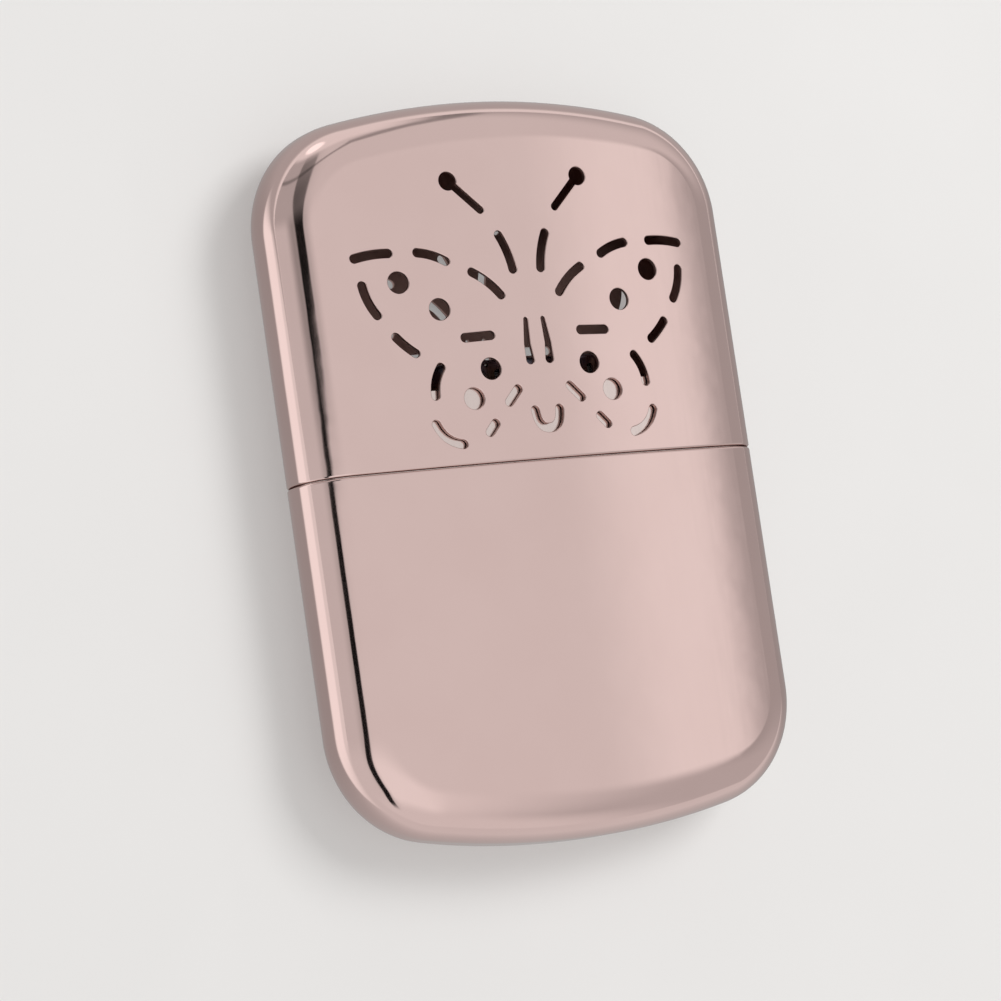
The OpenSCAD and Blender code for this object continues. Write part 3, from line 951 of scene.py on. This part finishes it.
def cross_wires():
    low, high = box_mm("retaining_wires")
    radius = (high.y - low.y) / 2
    dome = [(radius * math.cos(turn), radius * (1 - math.sin(turn))) for turn in quarter_turn(4)]
    profile = [*((r, low.z + h) for r, h in reversed(dome)), *((r, high.z - h) for r, h in dome)]
    bm = bmesh.new()
    for x in (-CROSS_WIRE_X, CROSS_WIRE_X):
        turned(bm, profile, Vector((x, CROSS_WIRE_Y, 0)), Z, X)
    outward(bm)
    obj = smooth(object_of(bm, "cross_wires"))
    place(obj, "burner", wire_metal(), "wire_metal", "retaining_wires")


# =====================================================================================
# Finishes
# =====================================================================================


class Finish:
    """A material and its node graph. Patterns read Object coordinates, in metres."""

    def __init__(self, name, color, metallic, roughness, **sockets):
        self.material = bpy.data.materials.new(name)
        self.material.use_nodes = True
        self.tree = self.material.node_tree
        self.shader = self.tree.nodes["Principled BSDF"]
        self.shader.inputs["Base Color"].default_value = (*color, 1)
        self.shader.inputs["Metallic"].default_value = metallic
        self.shader.inputs["Roughness"].default_value = roughness
        for socket, value in sockets.items():
            self.shader.inputs[socket.replace("_", " ")].default_value = value
        self.coordinates = self.tree.nodes.new("ShaderNodeTexCoord").outputs["Object"]

    def node(self, kind, inputs, **settings):
        made = self.tree.nodes.new(kind)
        for name, value in settings.items():
            setattr(made, name, value)
        for name, value in inputs.items():
            if isinstance(value, bpy.types.NodeSocket):
                self.tree.links.new(value, made.inputs[name])
            else:
                made.inputs[name].default_value = value
        return made

    def noise(self, scale, detail=4.0, stretch=(1, 1, 1), roughness=0.5, distortion=0.0):
        """Noise with so many grains to the metre, drawn out where stretch is below 1."""
        mapped = self.node("ShaderNodeMapping", {"Vector": self.coordinates, "Scale": stretch})
        inputs = {
            "Vector": mapped.outputs["Vector"], "Scale": scale, "Detail": detail, "Roughness": roughness,
        }
        return self.node("ShaderNodeTexNoise", {**inputs, "Distortion": distortion}).outputs["Fac"]

    def spread(self, value, low, high, start=0.3, end=0.7):
        """Maps start..end of a value to low..high."""
        inputs = {"Value": value, "From Min": start, "From Max": end, "To Min": low, "To Max": high}
        return self.node("ShaderNodeMapRange", inputs).outputs["Result"]

    def blend(self, factor, first, second):
        """A colour between two colours."""
        made = self.node("ShaderNodeMix", {}, data_type="RGBA")
        self.tree.links.new(factor, made.inputs["Factor"])
        for socket, value in ((made.inputs[6], first), (made.inputs[7], second)):
            if isinstance(value, bpy.types.NodeSocket):
                self.tree.links.new(value, socket)
            else:
                socket.default_value = (*value, 1)
        return made.outputs[2]

    def bump(self, height, distance, strength=1.0, over=None):
        """Bump of so many metres between the lows and highs of a pattern."""
        inputs = {"Height": height, "Distance": distance, "Strength": strength}
        if over is not None:
            inputs["Normal"] = over
        return self.node("ShaderNodeBump", inputs).outputs["Normal"]

    def drive(self, **sockets):
        for name, value in sockets.items():
            self.tree.links.new(value, self.shader.inputs[name.replace("_", " ")])
        return self.material


made_finishes = {}


def finish_once(make):
    """Each finish is made once and shared by the pieces that have it."""

    def shared():
        if make.__name__ not in made_finishes:
            made_finishes[make.__name__] = make()
        return made_finishes[make.__name__]

    return shared


@finish_once
def case_metal():
    """Satin plate outside; inside duller, and painted a dark brown that stands in for the shade in the hollow
    case.
    """
    finish = Finish("satin_rose_nickel", (0.87, 0.66, 0.63), 1.0, 0.08)
    cloud = finish.noise(90, 3)
    plate = finish.blend(finish.spread(cloud, 0, 1), (0.86, 0.65, 0.62), (0.88, 0.67, 0.64))
    # Painted shade: the faces inside the wall get this darker brown in place of the shade inside the case.
    inner_shade_grain = finish.noise(160, 4)
    painted_inner_shade = finish.blend(finish.spread(inner_shade_grain, 0, 1), (0.50, 0.31, 0.275), (0.64, 0.44, 0.40))
    inside = finish.node("ShaderNodeAttribute", {}, attribute_name="inside").outputs["Fac"]
    tone = finish.blend(inside, plate, painted_inner_shade)
    grain = finish.noise(1500, 5, (1, 0.06, 1))
    shine = finish.spread(grain, 0.055, 0.095)
    roughness = finish.node("ShaderNodeMix", {0: inside, 2: shine, 3: 0.42}).outputs[0]
    ripple = finish.bump(finish.noise(140, 2), 0.00002)
    return finish.drive(Base_Color=tone, Roughness=roughness, Normal=ripple)


@finish_once
def collar_metal():
    finish = Finish("bright_nickel", (0.86, 0.74, 0.71), 1.0, 0.16)
    drawn = finish.noise(2500, 4, (1, 0.04, 1))
    tone = finish.blend(finish.spread(drawn, 0, 1), (0.84, 0.72, 0.69), (0.88, 0.76, 0.73))
    ripple = finish.bump(drawn, 0.000004)
    return finish.drive(Base_Color=tone, Roughness=finish.spread(drawn, 0.12, 0.24), Normal=ripple)


@finish_once
def burner_metal():
    """Pressed steel that heat has tinted from straw to blue towards the top of the hood."""
    finish = Finish("heat_tinted_steel", (0.56, 0.53, 0.50), 1.0, 0.3)
    parts = finish.node("ShaderNodeSeparateXYZ", {0: finish.coordinates})
    height = finish.spread(parts.outputs["Y"], 0, 1, 0.0085, 0.0135)
    stain = finish.spread(finish.noise(260, 4), -0.25, 0.25)
    heat = finish.node("ShaderNodeMath", {0: height, 1: stain}, operation="ADD").outputs[0]
    ramp = finish.node("ShaderNodeValToRGB", {"Fac": heat})
    for position, color in (
        (0.0, (0.56, 0.53, 0.50)), (0.3, (0.58, 0.47, 0.33)), (0.55, (0.44, 0.29, 0.22)),
        (0.75, (0.30, 0.22, 0.27)), (1.0, (0.24, 0.28, 0.36)),
    ):
        last = ramp.color_ramp.elements[-1]
        first = ramp.color_ramp.elements[0]
        stop = first if position == 0 else last if position == 1 else ramp.color_ramp.elements.new(position)
        stop.position = position
        stop.color = (*color, 1)
    grain = finish.noise(3000, 3, (1, 0.1, 1))
    shine = finish.spread(grain, 0.24, 0.4)
    brushing = finish.bump(grain, 0.000004)
    return finish.drive(Base_Color=ramp.outputs["Color"], Roughness=shine, Normal=brushing)


@finish_once
def wire_metal():
    finish = Finish("drawn_wire", (0.60, 0.58, 0.56), 1.0, 0.3)
    grain = finish.noise(4000, 2)
    return finish.drive(Roughness=finish.spread(grain, 0.22, 0.4))


@finish_once
def rivet_brass():
    finish = Finish("turned_brass", (0.70, 0.52, 0.27), 1.0, 0.28)
    stain = finish.noise(1200, 4)
    tone = finish.blend(finish.spread(stain, 0, 1), (0.58, 0.41, 0.20), (0.76, 0.58, 0.31))
    return finish.drive(Base_Color=tone, Roughness=finish.spread(stain, 0.2, 0.38))


def fibres(name, light, dark, scale, depth):
    """A matt mass of fibres: fine hairs that cross coarser tufts."""
    finish = Finish(name, light, 0.0, 0.95, Specular_IOR_Level=0.15, Sheen_Weight=0.3)
    tufts = finish.noise(scale, 4, distortion=1.2)
    hairs = finish.noise(scale * 9, 4, (1, 0.25, 0.6), distortion=0.8)
    tone = finish.blend(finish.spread(tufts, 0, 1), dark, light)
    under = finish.bump(tufts, depth)
    return finish.drive(Base_Color=tone, Normal=finish.bump(hairs, depth / 4, over=under))


@finish_once
def cotton_wool():
    return fibres("cotton_wool", (0.93, 0.91, 0.86), (0.86, 0.83, 0.77), 350, 0.0006)


@finish_once
def wick_felt():
    return fibres("dense_felt", (0.86, 0.81, 0.72), (0.74, 0.68, 0.58), 900, 0.00015)


@finish_once
def catalyst_fibre():
    return fibres("platinised_glass_fibre", (0.46, 0.45, 0.44), (0.28, 0.27, 0.27), 1100, 0.0002)


# =====================================================================================
# Floor, light and camera
# =====================================================================================

FLOOR_SIZE = 6.0
FLOOR_LIFT = 0.35
CAMERA_PLACE = (-0.27636, -0.0562, 0.45641)
CAMERA_TURN = (10.637, -30.049, -9.628)
CAMERA_LENS = 154.45
SENSOR = 36.0

# The room as the metal sees it: soft boxes before a plain wall, in the middle and towards each end of the
# case. A box has two edges, in degrees round the length of the case from straight up, clockwise towards +X,
# then the blur of each edge, and its brightness.
ROOM_TINT = (1.0, 0.985, 0.97)
MIDDLE_WALL = 0.4
MIDDLE_BOXES = [(-180, -54, 1, 12, 0.6), (-42, 46, 12, 2, 0.7), (36, 45, 4, 2, 0.85)]
CAP_END_WALL = 0.45
CAP_END_BOXES = [(-20, 75, 25, 20, 0.65)]
TANK_END_WALL = 0.5
TANK_END_BOXES = [(-180, -58, 1, 8, 0.65), (-46, 25, 8, 25, 0.85)]
FAR_TANK_END = 0.7
FAR_CAP_END = 0.8
# Between two soft boxes on the left is a dark gap. Towards the cap's end it leans over and widens.
GAP_MIDDLE = -43.5
GAP_HALF_WIDTH = 6.0
GAP_LEAN = 12.5
GAP_WIDENING = 3.8
GAP_TANK_LEAN = -8.5
GAP_END_WIDENING = 4.5
GAP_DEPTH = 0.985
CORNER_GLINT = (-0.12, 0.985, 0.12)
GLINT_BRIGHTNESS = 1.55
SHOULDER_DEPTH = 0.36
EDGE_LINE_DEPTH = 0.5

# What the sides of the case see of the floor is a painted reflection: a glowing card, seen only in the metal,
# with pale strips on dark. Edges and blurs are in metres from the middle line.
REFLECTION_CARD_BASE = 0.35
REFLECTION_CARD_STRIPS = [(-1.0, -0.045, 0.001, 0.002, 0.8), (-0.085, -0.045, 0.012, 0.002, 1.0)]
CAP_END_REFLECTION = 0.45
FAR_REFLECTION = 0.8
TANK_END_REFLECTION = 0.65
REFLECTION_CARD_HEIGHT = 0.0002


def worked(tree, operation, *values):
    """One step of arithmetic between sockets and numbers."""
    made = tree.nodes.new("ShaderNodeMath")
    made.operation = operation
    for i, value in enumerate(values):
        if isinstance(value, bpy.types.NodeSocket):
            tree.links.new(value, made.inputs[i])
        else:
            made.inputs[i].default_value = value
    return made.outputs[0]


def step_between(tree, value, start, end, low=0.0, high=1.0):
    """A smooth step from low to high as a value goes from start to end."""
    made = tree.nodes.new("ShaderNodeMapRange")
    made.interpolation_type = "SMOOTHSTEP"
    for name, number in (("From Min", start), ("From Max", end), ("To Min", low), ("To Max", high)):
        made.inputs[name].default_value = number
    tree.links.new(value, made.inputs["Value"])
    return made.outputs[0]


def floor():
    bm = bmesh.new()
    bmesh.ops.create_grid(bm, x_segments=1, y_segments=1, size=FLOOR_SIZE / 2)
    obj = object_of(bm, "floor")
    finish = Finish("pale_floor", (0.82, 0.81, 0.80), 0.0, 0.7, Specular_IOR_Level=0.2)
    grain = finish.noise(30, 3)
    tone = finish.blend(finish.spread(grain, 0, 1), (0.81, 0.80, 0.79), (0.83, 0.82, 0.81))
    finish.drive(Base_Color=tone)
    lifted = finish.node("ShaderNodeEmission", {"Color": (0.80, 0.79, 0.78, 1), "Strength": 1.0})
    seen = finish.node("ShaderNodeLightPath", {}).outputs["Is Camera Ray"]
    share = finish.node("ShaderNodeMath", {0: seen, 1: FLOOR_LIFT}, operation="MULTIPLY").outputs[0]
    sides = {0: share, 1: finish.shader.outputs[0], 2: lifted.outputs[0]}
    surface = finish.node("ShaderNodeMixShader", sides)
    finish.tree.links.new(surface.outputs[0], finish.tree.nodes["Material Output"].inputs["Surface"])
    obj.data.materials.append(finish.material)


def mixed(tree, share, first, second):
    """A number between two others."""
    made = tree.nodes.new("ShaderNodeMix")
    for socket, value in ((made.inputs[0], share), (made.inputs[2], first), (made.inputs[3], second)):
        if isinstance(value, bpy.types.NodeSocket):
            tree.links.new(value, socket)
        else:
            socket.default_value = value
    return made.outputs[0]


def soft_boxes(tree, value, wall, boxes):
    """The brightness of a wall with soft-edged boxes before it."""
    light = wall
    for start, end, start_blur, end_blur, level in boxes:
        rise = step_between(tree, value, start - start_blur, start + start_blur)
        fall = step_between(tree, value, end - end_blur, end + end_blur, 1.0, 0.0)
        light = mixed(tree, worked(tree, "MULTIPLY", rise, fall), light, level)
    return light


def product(tree, *values):
    """All of the values multiplied with each other."""
    total = values[0]
    for value in values[1:]:
        total = worked(tree, "MULTIPLY", total, value)
    return total


def room_light(tree, angle, slope):
    """The soft boxes of the middle and of both ends, blended by the slope along the case."""
    light = soft_boxes(tree, angle, MIDDLE_WALL, MIDDLE_BOXES)
    cap_end = soft_boxes(tree, angle, CAP_END_WALL, CAP_END_BOXES)
    light = mixed(tree, step_between(tree, slope, 0.16, 0.36), light, cap_end)
    tank_end = soft_boxes(tree, angle, TANK_END_WALL, TANK_END_BOXES)
    light = mixed(tree, step_between(tree, slope, -0.34, 0.04, 1.0, 0.0), light, tank_end)
    light = mixed(tree, step_between(tree, slope, -0.92, -0.70, 1.0, 0.0), light, FAR_TANK_END)
    return mixed(tree, step_between(tree, slope, 0.90, 0.95), light, FAR_CAP_END)


def dark_gap(tree, angle, slope, lean):
    """How much the gap between the soft boxes takes away: it pales and closes towards both ends."""
    tank_lean = step_between(tree, slope, -0.40, 0.06, GAP_TANK_LEAN, 0.0)
    tank_lean = worked(tree, "ADD", tank_lean, step_between(tree, slope, -0.90, -0.66, GAP_TANK_LEAN, 0.0))
    middle = worked(tree, "ADD", worked(tree, "MULTIPLY_ADD", lean, GAP_LEAN, GAP_MIDDLE), tank_lean)
    half_width = worked(tree, "MULTIPLY_ADD", lean, GAP_WIDENING, GAP_HALF_WIDTH)
    half_width = worked(tree, "ADD", half_width, step_between(tree, slope, 0.15, 0.55, 0.0, GAP_END_WIDENING))
    from_middle = worked(tree, "ABSOLUTE", worked(tree, "SUBTRACT", angle, middle))
    away = worked(tree, "DIVIDE", from_middle, half_width)
    near_end = product(
        tree, step_between(tree, slope, 0.18, 0.42, 1.0, 0.75), step_between(tree, slope, 0.5, 0.9, 1.0, 0.7),
    )
    return product(
        tree, step_between(tree, away, 0.85, 1.15, GAP_DEPTH, 0.0), near_end,
        step_between(tree, slope, 0.84, 0.95, 1.0, 0.0), step_between(tree, slope, -0.92, -0.82, 0.0, 1.0),
    )


def dark_shoulder(tree, angle, slope, lean):
    """How much the dusk beside the gap takes away near the cap's end."""
    beside_gap = product(
        tree, step_between(tree, angle, -66, -44, 0.0, SHOULDER_DEPTH),
        step_between(tree, angle, -24, 2, 1.0, 0.0),
    )
    return product(tree, beside_gap, product(tree, lean, step_between(tree, slope, 0.2, 0.4, 1.0, 0.0)))


def dark_edge_line(tree, angle, slope):
    """How much a thin line along the rounded end of the cap takes away."""
    edge_slope = step_between(tree, angle, -15, 50, 0.75, 0.89)
    from_edge = worked(tree, "ABSOLUTE", worked(tree, "SUBTRACT", slope, edge_slope))
    return step_between(tree, from_edge, 0.006, 0.034, EDGE_LINE_DEPTH, 0.0)


def room():
    """A soft world with a dark gap between its soft boxes on the left."""
    world = bpy.data.worlds.new("studio")
    bpy.context.scene.world = world
    world.use_nodes = True
    tree = world.node_tree
    direction = tree.nodes.new("ShaderNodeTexCoord").outputs["Generated"]
    parts = tree.nodes.new("ShaderNodeSeparateXYZ")
    tree.links.new(direction, parts.inputs[0])
    slope = parts.outputs["Y"]
    angle = worked(tree, "DEGREES", worked(tree, "ARCTAN2", parts.outputs["X"], parts.outputs["Z"]))
    lean = step_between(tree, slope, 0.10, 0.15)
    kept = 1.0
    for taken in (
        dark_gap(tree, angle, slope, lean), dark_shoulder(tree, angle, slope, lean),
        dark_edge_line(tree, angle, slope),
    ):
        kept = product(tree, kept, worked(tree, "SUBTRACT", 1.0, taken))
    towards = tree.nodes.new("ShaderNodeVectorMath")
    towards.operation = "DOT_PRODUCT"
    tree.links.new(direction, towards.inputs[0])
    towards.inputs[1].default_value = Vector(CORNER_GLINT).normalized()
    glint = step_between(tree, towards.outputs["Value"], 0.982, 0.995, 0.0, GLINT_BRIGHTNESS)
    kept = worked(tree, "MAXIMUM", kept, glint)
    background = tree.nodes["Background"]
    background.inputs["Color"].default_value = (*ROOM_TINT, 1)
    strength = product(tree, room_light(tree, angle, slope), kept)
    tree.links.new(strength, background.inputs["Strength"])


def glowing_reflection_card():
    """A glowing card on the floor that only shows in the metal: a painted reflection that sets what the sides
    see of the floor.
    """
    bm = bmesh.new()
    bmesh.ops.create_grid(
        bm, x_segments=1, y_segments=1, size=FLOOR_SIZE / 2,
        matrix=Matrix.Translation((0, 0, REFLECTION_CARD_HEIGHT)),
    )
    obj = object_of(bm, "glowing_reflection_card")
    material = bpy.data.materials.new("glowing_reflection_card")
    material.use_nodes = True
    tree = material.node_tree
    parts = tree.nodes.new("ShaderNodeSeparateXYZ")
    tree.links.new(tree.nodes.new("ShaderNodeTexCoord").outputs["Object"], parts.inputs[0])
    along = parts.outputs["Y"]
    light = soft_boxes(tree, parts.outputs["X"], REFLECTION_CARD_BASE, REFLECTION_CARD_STRIPS)
    light = mixed(tree, step_between(tree, along, 0.036, 0.056), light, CAP_END_REFLECTION)
    light = mixed(tree, step_between(tree, along, 0.080, 0.130), light, FAR_REFLECTION)
    light = mixed(tree, step_between(tree, along, -0.080, -0.030, 1.0, 0.0), light, TANK_END_REFLECTION)
    # Painted reflection: the card glows, though it is no lamp, to put bright and dark strips in the metal's
    # sides.
    glow = tree.nodes.new("ShaderNodeEmission")
    glow.inputs["Color"].default_value = (*ROOM_TINT, 1)
    tree.links.new(light, glow.inputs["Strength"])
    tree.links.new(glow.outputs[0], tree.nodes["Material Output"].inputs["Surface"])
    obj.data.materials.append(material)
    for kind in ("camera", "diffuse", "transmission", "shadow", "volume_scatter"):
        setattr(obj, f"visible_{kind}", False)


def lamp(name, place, size, power, glossy):
    light = bpy.data.lights.new(name, "AREA")
    light.shape = "SQUARE"
    light.size = size
    light.energy = power
    obj = bpy.data.objects.new(name, light)
    obj.location = place
    obj.rotation_euler = (-Vector(place)).to_track_quat("-Z", "Y").to_euler()
    obj.visible_glossy = glossy
    bpy.context.scene.collection.objects.link(obj)


def camera():
    data = bpy.data.cameras.new("camera")
    data.lens = CAMERA_LENS
    data.sensor_width = SENSOR
    data.clip_start = 0.01
    obj = bpy.data.objects.new("camera", data)
    obj.location = CAMERA_PLACE
    obj.rotation_euler = [math.radians(turn) for turn in CAMERA_TURN]
    bpy.context.scene.collection.objects.link(obj)
    bpy.context.scene.camera = obj


camera()
floor()
room()
glowing_reflection_card()
lamp("key", (0.45, 0.35, 0.9), 0.5, 6.0, False)
bpy.context.scene.view_settings.view_transform = "Standard"

cap()
tank()
collar()
closing_plate()
neck()
wick()
gauze()
for layer in ("front", "middle", "back"):
    cotton(f"cotton_batt_{layer}", f"{layer}_cotton")
skirt()
base_plate()
hood()
rivets()
grids()
mat()
cross_wires()
